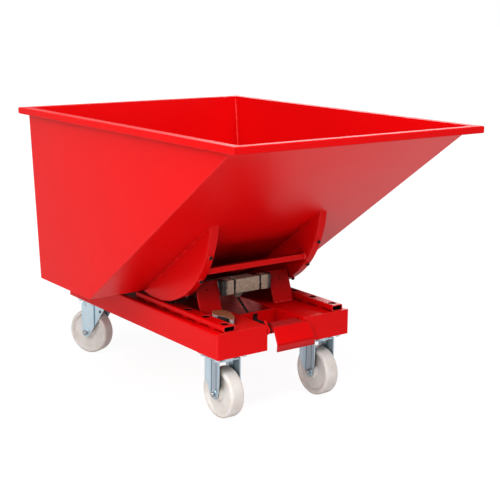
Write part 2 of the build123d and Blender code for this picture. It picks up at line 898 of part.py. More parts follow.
end_block = make_end_block()
nodes["latch_end_blocks"] = [end_block, mirrored(end_block)]
nodes["latch_pin"] = make_latch_pin()
nodes["latch_block"] = make_latch_block()
nodes["claw_plate"] = make_claw()

nodes["release_flap"] = make_flap()
nodes["flap_sleeve"] = make_flap_sleeve()
nodes["flap_lugs"] = make_flap_lugs()
nodes["flap_pin"] = make_flap_pin()
nodes["release_rod"] = make_rod()

front_places = [Pos(-castor_x, front_castor_y), Pos(castor_x, front_castor_y)]
turned = Rot(0, 0, swivel_rest_angle)
rear_places = [Pos(-castor_x, rear_castor_y), Pos(castor_x, rear_castor_y)]
all_centres = [(sign * castor_x, y) for y in (front_castor_y, rear_castor_y) for sign in (-1, 1)]

studs, nuts = make_castor_fasteners(all_centres)
nodes["castor_studs"] = studs
nodes["castor_nuts"] = nuts

front_bolt, front_nut = make_axle(0)
nodes["front_axle_bolts"] = [place * front_bolt for place in front_places]
nodes["front_axle_nuts"] = [place * front_nut for place in front_places]
rear_bolt, rear_nut = make_axle(swivel_trail)
nodes["kingpins"] = [place * make_kingpin() for place in rear_places]

for index, end in enumerate(("left", "right")):
    front = front_places[index]
    rear = rear_places[index]
    swung = rear * turned
    nodes["fixed_bracket_" + end] = front * make_fixed_bracket()
    nodes["front_wheel_" + end] = front * make_wheel(0)
    nodes["front_bush_" + end] = front * make_bush(0)
    nodes["swivel_head_" + end] = rear * make_swivel_head()
    nodes["swivel_fork_" + end] = swung * make_swivel_fork()
    nodes["rear_axle_" + end] = [swung * rear_bolt, swung * rear_nut]
    nodes["rear_wheel_" + end] = swung * make_wheel(swivel_trail)
    nodes["rear_bush_" + end] = swung * make_bush(swivel_trail)

for name, shape in nodes.items():
    if isinstance(shape, list):
        nodes[name] = Compound(children=shape)

boxes = [shape.bounding_box() for shape in nodes.values()]
front_end = min(box.min.Y for box in boxes)
rear_end = max(box.max.Y for box in boxes)
centred = Pos(0, -(front_end + rear_end) / 2, 0)

for name, shape in nodes.items():
    export_step(centred * shape, os.path.join("parts", name + ".step"))
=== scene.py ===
import json
import math
import bmesh
import bpy
from mathutils import Matrix, Vector


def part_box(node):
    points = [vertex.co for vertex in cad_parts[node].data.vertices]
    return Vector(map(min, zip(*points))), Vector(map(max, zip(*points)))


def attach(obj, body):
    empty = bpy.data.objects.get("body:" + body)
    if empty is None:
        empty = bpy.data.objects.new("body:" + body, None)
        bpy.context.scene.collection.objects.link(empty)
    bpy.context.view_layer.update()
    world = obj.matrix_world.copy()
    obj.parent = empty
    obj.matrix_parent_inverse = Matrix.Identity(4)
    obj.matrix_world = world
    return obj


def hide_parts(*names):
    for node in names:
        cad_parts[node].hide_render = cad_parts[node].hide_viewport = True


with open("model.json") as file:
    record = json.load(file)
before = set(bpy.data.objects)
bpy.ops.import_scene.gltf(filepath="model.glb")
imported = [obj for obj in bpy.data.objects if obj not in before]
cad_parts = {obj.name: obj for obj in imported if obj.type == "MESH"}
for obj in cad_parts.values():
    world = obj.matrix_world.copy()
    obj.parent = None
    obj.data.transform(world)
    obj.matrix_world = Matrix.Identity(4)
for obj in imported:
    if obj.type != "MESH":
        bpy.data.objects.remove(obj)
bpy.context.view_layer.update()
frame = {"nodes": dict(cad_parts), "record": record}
scene = bpy.context.scene
SIDES = ("left", "right")


# Places taken from the frame, in metres


def centre_of(name):
    low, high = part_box(name)
    return (low + high) / 2


track_low, track_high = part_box("track_left")
track_middle = abs(track_low.x + track_high.x) / 2
track_half_width = (track_high.x - track_low.x) / 2
track_half_height = (track_high.z - track_low.z) / 2
end_low, end_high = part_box("latch_end_blocks")
latch_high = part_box("latch_block")[1]
claw_low, claw_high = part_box("claw_plate")
flap_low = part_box("release_flap")[0]
sleeve_low, sleeve_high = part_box("flap_sleeve")
sleeve_axis = centre_of("flap_sleeve")
plate_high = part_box("well_plate")[1]
deck = plate_high.z
front_axle = centre_of("front_wheel_left")
rear_axle = centre_of("rear_wheel_left")
kingpin = centre_of("swivel_head_left")
trail = (rear_axle - kingpin) * Vector((1, 1, 0))
trail.normalize()


# Small helpers for shader nodes

BEVEL_SAMPLES = 8
CREVICE_SAMPLES = 12
BUMP_DEPTH = 0.001
# Cosine between the softened and the true normal, where an edge starts and where it is full.
EDGE_START = 0.995
EDGE_FULL = 0.86
# Colour sockets of a Mix node, by number because their names repeat.
MIX_COLOURS = (6, 7)
MIX_RESULT = 2


def new_material(name):
    material = bpy.data.materials.new(name)
    material.use_nodes = True
    tree = material.node_tree
    tree.nodes.clear()
    output = tree.nodes.new("ShaderNodeOutputMaterial")
    shader = tree.nodes.new("ShaderNodeBsdfPrincipled")
    tree.links.new(shader.outputs["BSDF"], output.inputs["Surface"])
    return material, tree, shader


def place(tree):
    """Position on the object at rest, in metres."""
    return tree.nodes.new("ShaderNodeTexCoord").outputs["Object"]


def component(tree, vector, axis):
    node = tree.nodes.new("ShaderNodeSeparateXYZ")
    tree.links.new(vector, node.inputs["Vector"])
    return node.outputs[axis]


def coordinate(tree, axis):
    return component(tree, place(tree), axis)


def facing_up(tree):
    geometry = tree.nodes.new("ShaderNodeNewGeometry")
    return component(tree, geometry.outputs["True Normal"], "Z")


def noise(tree, scale, detail, roughness=0.55, stretch=(1, 1, 1)):
    mapping = tree.nodes.new("ShaderNodeMapping")
    mapping.inputs["Scale"].default_value = stretch
    tree.links.new(place(tree), mapping.inputs["Vector"])
    texture = tree.nodes.new("ShaderNodeTexNoise")
    texture.inputs["Scale"].default_value = scale
    texture.inputs["Detail"].default_value = detail
    texture.inputs["Roughness"].default_value = roughness
    tree.links.new(mapping.outputs["Vector"], texture.inputs["Vector"])
    return texture.outputs["Fac"]


def feed(tree, value, socket):
    """Links a socket's value, or sets a plain number."""
    if hasattr(value, "links"):
        tree.links.new(value, socket)
    else:
        socket.default_value = value


def maths(tree, operation, first, second=0.0, third=None):
    node = tree.nodes.new("ShaderNodeMath")
    node.operation = operation
    feed(tree, first, node.inputs[0])
    feed(tree, second, node.inputs[1])
    if third is not None:
        feed(tree, third, node.inputs[2])
    return node.outputs[0]


def product(tree, first, *others):
    for other in others:
        first = maths(tree, "MULTIPLY", first, other)
    return first


def length_of(tree, *offsets):
    squares = 0.0
    for offset in offsets:
        squares = maths(tree, "MULTIPLY_ADD", offset, offset, squares)
    return maths(tree, "SQRT", squares)


def spread(tree, value, low, high, out_low=0.0, out_high=1.0):
    """Maps a value from one range to another, smoothly and without overshoot."""
    node = tree.nodes.new("ShaderNodeMapRange")
    node.interpolation_type = "SMOOTHSTEP"
    node.clamp = True
    feed(tree, value, node.inputs["Value"])
    node.inputs["From Min"].default_value = low
    node.inputs["From Max"].default_value = high
    node.inputs["To Min"].default_value = out_low
    node.inputs["To Max"].default_value = out_high
    return node.outputs["Result"]


def patches(tree, scale, detail, between, strength=1.0, roughness=0.55, stretch=(1, 1, 1)):
    """Mask from noise that rises to its strength between two values of the noise."""
    return spread(tree, noise(tree, scale, detail, roughness, stretch), *between, 0.0, strength)


def ragged(tree, distance, scale, detail, reach):
    """A distance made uneven by noise, by up to a reach."""
    return maths(tree, "MULTIPLY_ADD", noise(tree, scale, detail), reach, distance)


def band(tree, value, middle, half, fade, strength=1.0):
    """Strength within half a width of the middle, fading out to 0."""
    away = maths(tree, "ABSOLUTE", maths(tree, "SUBTRACT", value, middle))
    return spread(tree, away, half + fade, half, 0.0, strength)


def crevices(tree, distance, between, strength):
    """Mask for painted shade: 0 in the open, up to a strength where other surfaces close in within a
    distance.
    """
    node = tree.nodes.new("ShaderNodeAmbientOcclusion")
    node.samples = CREVICE_SAMPLES
    node.inputs["Distance"].default_value = distance
    hidden = maths(tree, "SUBTRACT", 1.0, node.outputs["AO"])
    return spread(tree, hidden, *between, 0.0, strength)


def mix(tree, factor, first, second):
    node = tree.nodes.new("ShaderNodeMix")
    node.data_type = "RGBA"
    feed(tree, factor, node.inputs["Factor"])
    for value, socket in zip((first, second), MIX_COLOURS):
        if isinstance(value, tuple):
            node.inputs[socket].default_value = (*value, 1)
        else:
            tree.links.new(value, node.inputs[socket])
    return node.outputs[MIX_RESULT]


def soft_normal(tree, radius):
    """Shading normal with softened edges."""
    bevel = tree.nodes.new("ShaderNodeBevel")
    bevel.samples = BEVEL_SAMPLES
    bevel.inputs["Radius"].default_value = radius
    return bevel.outputs["Normal"]


def pale_edges(tree, colour, normal, strength, pale):
    """Colour with a paler one where the softened normal turns away from the true one, a painted highlight
    along the edges.
    """
    geometry = tree.nodes.new("ShaderNodeNewGeometry")
    dot = tree.nodes.new("ShaderNodeVectorMath")
    dot.operation = "DOT_PRODUCT"
    tree.links.new(normal, dot.inputs[0])
    tree.links.new(geometry.outputs["Normal"], dot.inputs[1])
    edge = spread(tree, dot.outputs["Value"], EDGE_START, EDGE_FULL)
    return mix(tree, maths(tree, "MULTIPLY", edge, strength), colour, pale)


def bump(tree, shader, height, strength, normal=None):
    node = tree.nodes.new("ShaderNodeBump")
    node.inputs["Strength"].default_value = strength
    node.inputs["Distance"].default_value = BUMP_DEPTH
    tree.links.new(height, node.inputs["Height"])
    if normal is not None:
        tree.links.new(normal, node.inputs["Normal"])
    tree.links.new(node.outputs["Normal"], shader.inputs["Normal"])


def set_looks(tree, shader, colour, mask, sharpest, dullest):
    """Links the colour, and a roughness that follows a mask between two values."""
    tree.links.new(colour, shader.inputs["Base Color"])
    tree.links.new(spread(tree, mask, 0.0, 1.0, sharpest, dullest), shader.inputs["Roughness"])


# Red paint

RED = (0.70, 0.0020, 0.0030)
RED_DEEP = (0.60, 0.0014, 0.0020)
RED_EDGE = (0.90, 0.075, 0.07)
RED_SHADE = (0.06, 0.0008, 0.0010)
RED_CREVICE_SHADE = (0.03, 0.002, 0.002)
RED_RADIUS = 0.0022
RED_WEAR_AND_HIGHLIGHT = 0.75
RED_SHARPEST = 0.28
RED_UNEVEN = 0.05
RED_INDEX = 1.16


def red_base(tree, radius=RED_RADIUS, wear_and_highlight=RED_WEAR_AND_HIGHLIGHT):
    """Powder coat with faint clouds, paler edges that are partly worn and partly a painted highlight,
    painted shade in corners and narrow crevices, and its softened normal.
    """
    clouds = patches(tree, scale=3.0, detail=2.0, between=(0.1, 0.9), strength=0.35)
    colour = mix(tree, clouds, RED, RED_DEEP)
    normal = soft_normal(tree, radius)
    uneven = noise(tree, scale=60.0, detail=3.0)
    # Paler edges: partly worn paint, partly a painted highlight
    patchy = spread(tree, uneven, low=0.35, high=0.65, out_low=wear_and_highlight / 2, out_high=wear_and_highlight)
    colour = pale_edges(tree, colour, normal, patchy, RED_EDGE)
    # Painted shade, deep red, in corners and under overhangs within 0.3 m
    deep_shade = crevices(tree, distance=0.3, between=(0.35, 1.0), strength=0.88)
    colour = mix(tree, deep_shade, colour, RED_SHADE)
    # Painted shade, near black, in narrow crevices
    crevice_shade = crevices(tree, distance=0.012, between=(0.55, 0.95), strength=0.6)
    colour = mix(tree, crevice_shade, colour, RED_CREVICE_SHADE)
    return colour, normal


def red_finish(tree, shader, colour, normal, sharpest=RED_SHARPEST, index=RED_INDEX):
    """Links the colour, and adds uneven gloss and slight orange peel."""
    tree.links.new(colour, shader.inputs["Base Color"])
    uneven = noise(tree, scale=5.0, detail=3.0)
    dullest = sharpest + RED_UNEVEN
    gloss = spread(tree, uneven, low=0.1, high=0.9, out_low=sharpest, out_high=dullest)
    tree.links.new(gloss, shader.inputs["Roughness"])
    shader.inputs["IOR"].default_value = index
    bump(tree, shader, noise(tree, scale=420.0, detail=2.0), strength=0.01, normal=normal)


def make_red_paint(name, radius=RED_RADIUS, wear_and_highlight=RED_WEAR_AND_HIGHLIGHT, sharpest=RED_SHARPEST, index=RED_INDEX):
    """Plain red paint with its edge radius, edge wear with a painted edge highlight, gloss and strength of
    reflection.
    """
    material, tree, shader = new_material(name)
    colour, normal = red_base(tree, radius, wear_and_highlight)
    red_finish(tree, shader, colour, normal, sharpest, index)
    return material


WELD_CREST_HIGHLIGHT = (0.88, 0.09, 0.085)


def make_weld_paint():
    """Painted weld bead, with a painted highlight on the crests of its ripples and painted shade in its
    crevices.
    """
    material, tree, shader = new_material("weld_paint")
    crests = patches(tree, scale=230.0, detail=2.0, between=(0.45, 0.7))
    # Painted highlight on the crests of the ripples
    colour = mix(tree, crests, RED, WELD_CREST_HIGHLIGHT)
    # Painted shade in the crevices beside the bead
    crevice_shade = crevices(tree, distance=0.02, between=(0.6, 1.0), strength=0.7)
    colour = mix(tree, crevice_shade, colour, RED_SHADE)
    set_looks(tree, shader, colour, crests, sharpest=0.2, dullest=0.34)
    shader.inputs["IOR"].default_value = 1.35
    bump(tree, shader, crests, strength=0.2)
    return material


# Paint in the well. The overspray and the painted shade start and end at distances behind the well plate.

OVERSPRAY_START = (0.06, 0.14)
OVERSPRAY_END = (0.42, 0.55)
SHADE_END = (0.09, 0.15)
WALL_PALE = (0.92, 0.27, 0.26)
WALL_DEEP = (0.80, 0.18, 0.175)
WALL_SKIN = 0.0006
WALL_TOP = 0.002
FLOOR_PALE = (0.92, 0.30, 0.29)
FLOOR_DEEP = (0.80, 0.20, 0.195)
FLOOR_SPECK = (0.60, 0.44, 0.44)
FLOOR_SHADE = (0.012, 0.001, 0.001)


def behind_plate(tree, start, end):
    """0 up to a distance behind the well plate, 1 from another one on."""
    return spread(tree, coordinate(tree, "Y"), plate_high.y + start, plate_high.y + end)


def make_channel_paint():
    """Red paint, thin and greyed by overspray on the walls of the well."""
    material, tree, shader = new_material("channel_paint")
    colour, normal = red_base(tree)
    across = maths(tree, "ABSOLUTE", coordinate(tree, "X"))
    inner = spread(tree, across, plate_high.x + 2 * WALL_SKIN, plate_high.x + WALL_SKIN)
    below = spread(tree, coordinate(tree, "Z"), deck, deck - WALL_TOP)
    started = behind_plate(tree, *OVERSPRAY_START)
    until = behind_plate(tree, *reversed(OVERSPRAY_END))
    walls = product(tree, inner, below, started, until)
    drift = patches(tree, scale=9.0, detail=4.0, between=(0.2, 0.8))
    colour = mix(tree, walls, colour, mix(tree, drift, WALL_PALE, WALL_DEEP))
    red_finish(tree, shader, colour, normal)
    return material


def make_thin_paint():
    """Dull overspray on the floor of the well, thin over grey steel, with painted shade, near black, just
    behind the plate.
    """
    material, tree, shader = new_material("thin_paint")
    drift = patches(tree, scale=9.0, detail=4.0, between=(0.3, 0.7))
    colour = mix(tree, drift, FLOOR_PALE, FLOOR_DEEP)
    specks = patches(tree, scale=320.0, detail=3.0, between=(0.58, 0.72), strength=0.5)
    colour = mix(tree, specks, colour, FLOOR_SPECK)
    # Painted shade, near black, just behind the well plate
    colour = mix(tree, behind_plate(tree, *reversed(SHADE_END)), colour, FLOOR_SHADE)
    colour = mix(tree, behind_plate(tree, *OVERSPRAY_END), colour, RED_DEEP)
    set_looks(tree, shader, colour, drift, sharpest=0.42, dullest=0.55)
    bump(tree, shader, noise(tree, scale=300.0, detail=3.0), strength=0.08)
    return material


# Paint of the uprights, with painted shade between two heights above the deck

SHADE_FOOT = 0.005
SHADE_HEAD = 0.09
SHADE_STRENGTH = 0.65


def make_upright_paint():
    """Red paint with painted shade that darkens it towards the top."""
    material, tree, shader = new_material("upright_paint")
    colour, normal = red_base(tree)
    height = coordinate(tree, "Z")
    # Painted shade, growing with height above the deck
    height_shade = spread(tree, height, deck + SHADE_FOOT, deck + SHADE_HEAD, out_high=SHADE_STRENGTH)
    colour = mix(tree, height_shade, colour, RED_SHADE)
    red_finish(tree, shader, colour, normal)
    return material


# Paint of the tracks

HOLE_PITCH = 0.1
HOLE_RADIUS = 0.013
FIRST_HOLE = 0.02656
RING_OUTER = 0.0048
RING_INNER = 0.0028
RING_WORN = (0.45, 0.20, 0.18)
RING_STRENGTH = 0.6
RING_METAL = 0.5
TRACK_SCUFF = (0.36, 0.012, 0.012)
BORE_SHADE = (0.008, 0.0015, 0.0015)
BORE_SKIN = (0.0012, 0.0022)
BORE_MOUTH = (0.0005, 0.003)


def tube_bore(tree, across, y):
    """1 on the inside of the square tube, behind its mouth."""
    middle = (track_low.z + track_high.z) / 2
    up = maths(tree, "SUBTRACT", coordinate(tree, "Z"), middle)
    bore = spread(tree, y, *(track_low.y + depth for depth in BORE_MOUTH))
    for offset, half in ((across, track_half_width), (up, track_half_height)):
        away = maths(tree, "ABSOLUTE", offset)
        inside = spread(tree, away, *(half - skin for skin in BORE_SKIN))
        bore = maths(tree, "MULTIPLY", bore, inside)
    return bore


def make_track_paint():
    """Red paint, worn round the peg holes and rubbed along the rolling line, with painted shade, near
    black, inside the tube.
    """
    material, tree, shader = new_material("track_paint")
    colour, normal = red_base(tree)
    y = coordinate(tree, "Y")
    across = maths(tree, "ABSOLUTE", coordinate(tree, "X"))
    across = maths(tree, "SUBTRACT", across, track_middle)
    along = maths(tree, "SUBTRACT", y, track_low.y + FIRST_HOLE)
    along = maths(tree, "PINGPONG", along, HOLE_PITCH / 2)
    distance = ragged(tree, length_of(tree, across, along), scale=160.0, detail=4.0, reach=0.006)
    outer, inner = HOLE_RADIUS + RING_OUTER, HOLE_RADIUS + RING_INNER
    ring = spread(tree, distance, outer, inner, out_high=RING_STRENGTH)
    up = spread(tree, facing_up(tree), low=0.7, high=0.95)
    ring = maths(tree, "MULTIPLY", ring, up)
    scuffs = patches(
        tree, scale=45.0, detail=5.0, between=(0.6, 0.75), strength=0.35,
        roughness=0.65, stretch=(1.0, 0.25, 1.0),
    )
    colour = mix(tree, maths(tree, "MULTIPLY", scuffs, up), colour, TRACK_SCUFF)
    colour = mix(tree, ring, colour, RING_WORN)
    # Painted shade, near black, inside the tube
    colour = mix(tree, tube_bore(tree, across, y), colour, BORE_SHADE)
    tree.links.new(maths(tree, "MULTIPLY", ring, RING_METAL), shader.inputs["Metallic"])
    red_finish(tree, shader, colour, normal)
    return material


# Paint of the release flap. Its folds are at heights above the lower edge.

FLAP_LIP = 0.0219
FLAP_FACE = 0.0527
STRIP_SHADE = (0.26, 0.014, 0.014)
STRIP_FADE = 0.001
LIP_SHADE = (0.42, 0.025, 0.025)
LIP_FADE = (0.002, 0.004)
FOLD_SHADE = (0.44, 0.0008, 0.0008)
FOLD_ABOVE = 0.001
LIP_SHADE_LINE = (0.16, 0.004, 0.004)
LIP_LINE_ABOVE = 0.004


def make_flap_paint():
    """Red paint on the bent flap, with painted shade on the strip on top, as a dark line in the lower
    fold, as a dark line near the lower edge, and on the lip.
    """
    material, tree, shader = new_material("flap_paint")
    colour, normal = red_base(tree)
    z = coordinate(tree, "Z")
    lip_fold = flap_low.z + FLAP_LIP
    strip_fold = lip_fold + FLAP_FACE
    # Painted shade on the strip, the lip, the lower fold and near the lip's lower edge
    strip = spread(tree, z, strip_fold - STRIP_FADE, strip_fold + STRIP_FADE, out_high=0.8)
    colour = mix(tree, strip, colour, STRIP_SHADE)
    lip = spread(tree, z, *(lip_fold - fade for fade in LIP_FADE), out_high=0.65)
    colour = mix(tree, lip, colour, LIP_SHADE)
    fold = band(tree, z, lip_fold + FOLD_ABOVE, half=0.002, fade=0.002, strength=0.8)
    colour = mix(tree, fold, colour, FOLD_SHADE)
    line = band(tree, z, flap_low.z + LIP_LINE_ABOVE, half=0.0008, fade=0.001, strength=0.5)
    colour = mix(tree, line, colour, LIP_SHADE_LINE)
    red_finish(tree, shader, colour, normal)
    return material


# Zinc

ZINC_PALE = (0.54, 0.67, 0.74)
ZINC_DEEP = (0.49, 0.62, 0.69)
ZINC_HOLLOW_SHADE = (0.03, 0.13, 0.18)
ZINC_EDGE = (0.86, 0.91, 0.93)
BAND_FRONT = 0.010
BAND_BACK = 0.016
BAND_STREAK = (0.30, 0.44, 0.54)
BAND_SHADE = (0.33, 0.40, 0.45)
BAND_BEND_SHADE = (0.03, 0.10, 0.14)
FORK_BEND = 0.005
FORK_FADE = (0.001, 0.004)
FORK_WING_SHADE = (0.36, 0.48, 0.55)
FORK_BEND_SHADE = (0.06, 0.18, 0.25)
AXLE_PALE = (0.30, 0.36, 0.38)
AXLE_DEEP = (0.18, 0.24, 0.27)
AXLE_HOLLOW_SHADE = (0.01, 0.03, 0.04)
AXLE_EDGE = (0.80, 0.84, 0.86)


def make_zinc(name, marks_and_shade=None):
    """Bluish zinc plate with faint spangle, painted shade in its hollows, a painted highlight on its
    edges, and any marks and painted shade passed in.
    """
    material, tree, shader = new_material(name)
    spangle = patches(tree, scale=38.0, detail=2.0, between=(0.3, 0.7))
    colour = mix(tree, spangle, ZINC_PALE, ZINC_DEEP)
    if marks_and_shade:
        for mask, tint in marks_and_shade(tree):
            colour = mix(tree, mask, colour, tint)
    # Painted shade, dark blue-green, in the hollows
    hollow_shade = crevices(tree, distance=0.05, between=(0.4, 0.95), strength=0.9)
    colour = mix(tree, hollow_shade, colour, ZINC_HOLLOW_SHADE)
    normal = soft_normal(tree, radius=0.0012)
    # Painted highlight along the edges
    colour = pale_edges(tree, colour, normal, strength=0.6, pale=ZINC_EDGE)
    set_looks(tree, shader, colour, spangle, sharpest=0.28, dullest=0.33)
    shader.inputs["Metallic"].default_value = 0.8
    bump(tree, shader, noise(tree, scale=60.0, detail=2.0), strength=0.02, normal=normal)
    return material


def bracket_marks_and_shade(tree):
    """Streaks running up and down, painted shade on the middle band, and painted shade as dark lines at
    the bends on both sides of it.
    """
    from_axle = maths(tree, "SUBTRACT", coordinate(tree, "Y"), front_axle.y)
    streaks = patches(
        tree, scale=110.0, detail=2.0, between=(0.42, 0.6), strength=0.55,
        roughness=0.5, stretch=(1.0, 1.0, 0.04),
    )
    middle = (BAND_BACK - BAND_FRONT) / 2
    half = (BAND_BACK + BAND_FRONT) / 2
    # Painted shade on the middle band and along the bends beside it
    flat = band(tree, from_axle, middle, half, fade=0.0008, strength=0.7)
    first = band(tree, from_axle, BAND_BACK, half=0.0011, fade=0.0012, strength=0.85)
    second = band(tree, from_axle, -BAND_FRONT, half=0.0014, fade=0.0014, strength=0.9)
    bends = maths(tree, "MAXIMUM", first, second)
    return [(streaks, BAND_STREAK), (flat, BAND_SHADE), (bends, BAND_BEND_SHADE)]


def fork_bend_shade(tree):
    """Painted shade on the turned leg of a rear fork beyond its bend, and as a dark line down the bend."""
    x = coordinate(tree, "X")
    outward = maths(tree, "SUBTRACT", maths(tree, "ABSOLUTE", x), abs(kingpin.x))
    outward = maths(tree, "MULTIPLY", outward, maths(tree, "SIGN", x))
    behind = maths(tree, "SUBTRACT", coordinate(tree, "Y"), kingpin.y)
    behind = maths(tree, "MULTIPLY", behind, trail.y)
    along = maths(tree, "MULTIPLY_ADD", outward, trail.x, behind)
    # Painted shade on the wing beyond the bend and along the bend
    wing = spread(tree, along, *(-FORK_BEND - fade for fade in FORK_FADE), out_high=0.25)
    bend = band(tree, along, -FORK_BEND, half=0.0018, fade=0.0016, strength=0.8)
    return [(wing, FORK_WING_SHADE), (bend, FORK_BEND_SHADE)]


def make_axle_zinc():
    """Darker plated axle ends: bright flats, a painted highlight on the edges, and painted shade, near
    black, in the hollows.
    """
    material, tree, shader = new_material("axle_zinc")
    mottle = patches(tree, scale=150.0, detail=3.0, between=(0.3, 0.7))
    colour = mix(tree, mottle, AXLE_PALE, AXLE_DEEP)
    # Painted shade, near black, in the hollows
    hollow_shade = crevices(tree, distance=0.01, between=(0.35, 0.8), strength=0.95)
    colour = mix(tree, hollow_shade, colour, AXLE_HOLLOW_SHADE)
    normal = soft_normal(tree, radius=0.001)
    # Painted highlight along the edges
    colour = pale_edges(tree, colour, normal, strength=0.7, pale=AXLE_EDGE)
    set_looks(tree, shader, colour, mottle, sharpest=0.25, dullest=0.4)
    shader.inputs["Metallic"].default_value = 0.8
    bump(tree, shader, mottle, strength=0.05, normal=normal)
    return material


# Nylon of the wheels

NYLON_PALE = (0.70, 0.685, 0.66)
NYLON_DEEP = (0.63, 0.61, 0.57)
NYLON_STAIN = (0.58, 0.49, 0.40)
NYLON_SCUFF = (0.58, 0.51, 0.45)
NYLON_HOLLOW_SHADE = (0.42, 0.30, 0.20)


def make_nylon():
    """Off-white cast nylon, a little translucent, with stains, scuffs and painted tan shade in the
    hollows.
    """
    material, tree, shader = new_material("nylon")
    clouds = patches(tree, scale=14.0, detail=3.0, between=(0.3, 0.7))
    colour = mix(tree, clouds, NYLON_PALE, NYLON_DEEP)
    stains = patches(tree, scale=26.0, detail=4.0, between=(0.48, 0.72), strength=0.4)
    colour = mix(tree, stains, colour, NYLON_STAIN)
    scuffs = patches(tree, scale=90.0, detail=6.0, between=(0.64, 0.8), strength=0.25, roughness=0.7)
    colour = mix(tree, scuffs, colour, NYLON_SCUFF)
    # Painted shade, tan, in the hollows
    hollow_tan_shade = crevices(tree, distance=0.05, between=(0.35, 0.95), strength=0.6)
    colour = mix(tree, hollow_tan_shade, colour, NYLON_HOLLOW_SHADE)
    set_looks(tree, shader, colour, clouds, sharpest=0.36, dullest=0.5)
    shader.inputs["Subsurface Weight"].default_value = 0.3
    shader.inputs["Subsurface Radius"].default_value = (1.0, 0.8, 0.6)
    shader.inputs["Subsurface Scale"].default_value = 0.02
    normal = soft_normal(tree, radius=0.002)
    bump(tree, shader, noise(tree, scale=120.0, detail=3.0), strength=0.05, normal=normal)
    return material


# Unpainted steel

RAW_PALE = (0.48, 0.41, 0.31)
RAW_DEEP = (0.32, 0.265, 0.19)
RAW_RUST = (0.27, 0.19, 0.11)
RAW_EDGE = (0.68, 0.66, 0.58)
RAW_BURNT = (0.012, 0.011, 0.011)
BURNT_REACH = (0.018, 0.002)
GROOVE_OUT = 0.004
GROOVE_HALF = (0.0052, 0.0036)
CUT_SKIN = (0.40, 0.20, 0.085)
CUT_SKIN_DEEP = (0.31, 0.13, 0.05)
CUT_FACE_SHADE = (0.008, 0.008, 0.008)
CUT_FACE_SHADE_PALE = (0.035, 0.034, 0.034)
CUT_BRIGHT = (0.75, 0.74, 0.72)
CUT_BRIGHT_DEEP = (0.40, 0.39, 0.38)
CUT_EDGE = (0.62, 0.57, 0.50)
HORN_AHEAD = 0.042
HORN_ASIDE = 0.013
HORN_REACH = 0.016
HORN_CORE = 0.6
DARK_DEEP = (0.014, 0.010, 0.010)
DARK_PALE = (0.04, 0.028, 0.026)
DARK_EDGE = (0.30, 0.26, 0.24)
BARE_PALE = (0.52, 0.52, 0.52)
BARE_DEEP = (0.40, 0.40, 0.41)
BEAD_DEEP = (0.02, 0.02, 0.022)
BEAD_PALE = (0.16, 0.15, 0.15)


def make_raw_steel():
    """Raw mill steel with speckles and a painted highlight on its edges, blackened by the welds at its
    outer ends and beside its gaps.
    """
    material, tree, shader = new_material("raw_steel")
    mottle = patches(tree, scale=120.0, detail=6.0, between=(0.3, 0.7), roughness=0.7)
    colour = mix(tree, mottle, RAW_PALE, RAW_DEEP)
    rust = patches(tree, scale=55.0, detail=5.0, between=(0.58, 0.75), strength=0.5, roughness=0.65)
    colour = mix(tree, rust, colour, RAW_RUST)
    normal = soft_normal(tree, radius=0.0024)
    # Painted highlight along the edges
    colour = pale_edges(tree, colour, normal, strength=0.7, pale=RAW_EDGE)
    across = maths(tree, "ABSOLUTE", coordinate(tree, "X"))
    outward = ragged(tree, across, scale=90.0, detail=4.0, reach=0.014)
    burnt = spread(tree, outward, *(end_high.x - reach for reach in BURNT_REACH))
    from_gap = maths(tree, "SUBTRACT", across, latch_high.x + GROOVE_OUT)
    from_gap = ragged(tree, from_gap, scale=140.0, detail=3.0, reach=0.008)
    groove = spread(tree, maths(tree, "ABSOLUTE", from_gap), *GROOVE_HALF)
    colour = mix(tree, maths(tree, "MAXIMUM", burnt, groove), colour, RAW_BURNT)
    set_looks(tree, shader, colour, mottle, sharpest=0.45, dullest=0.65)
    shader.inputs["Metallic"].default_value = 0.2
    bump(tree, shader, noise(tree, scale=200.0, detail=5.0), strength=0.15, normal=normal)
    return material


def near_spot(tree, spot, reach):
    """1 close to an upright line through a place on the plan, 0 beyond the reach."""
    offsets = [maths(tree, "SUBTRACT", coordinate(tree, axis), centre) for axis, centre in zip("XY", spot)]
    return spread(tree, length_of(tree, *offsets), reach, reach * HORN_CORE)


def make_cut_steel():
    """Flame-cut plate: tan skin on top, painted shade, near black, on the hollow cut edge, bright horns at
    its ends, and a painted highlight on its edges.
    """
    material, tree, shader = new_material("cut_steel")
    mottle = patches(tree, scale=80.0, detail=5.0, between=(0.3, 0.7), roughness=0.65)
    skin = mix(tree, mottle, CUT_SKIN, CUT_SKIN_DEEP)
    drag = patches(
        tree, scale=160.0, detail=2.0, between=(0.35, 0.65), roughness=0.5, stretch=(1.0, 1.0, 0.06)
    )
    # Painted shade, near black, on the cut faces, with drag streaks
    cut = mix(tree, drag, CUT_FACE_SHADE, CUT_FACE_SHADE_PALE)
    horns = ((claw_low.x, claw_high.y - HORN_AHEAD), (claw_low.x + HORN_ASIDE, claw_low.y))
    bright_horns = maths(tree, "MAXIMUM", *(near_spot(tree, spot, HORN_REACH) for spot in horns))
    cut = mix(tree, bright_horns, cut, mix(tree, drag, CUT_BRIGHT, CUT_BRIGHT_DEEP))
    up = spread(tree, facing_up(tree), low=0.5, high=0.9)
    normal = soft_normal(tree, radius=0.0022)
    # Painted highlight along the edges
    colour = pale_edges(tree, mix(tree, up, cut, skin), normal, strength=0.65, pale=CUT_EDGE)
    set_looks(tree, shader, colour, mottle, sharpest=0.38, dullest=0.6)
    shader.inputs["Metallic"].default_value = 0.25
    bump(tree, shader, drag, strength=0.25, normal=normal)
    return material


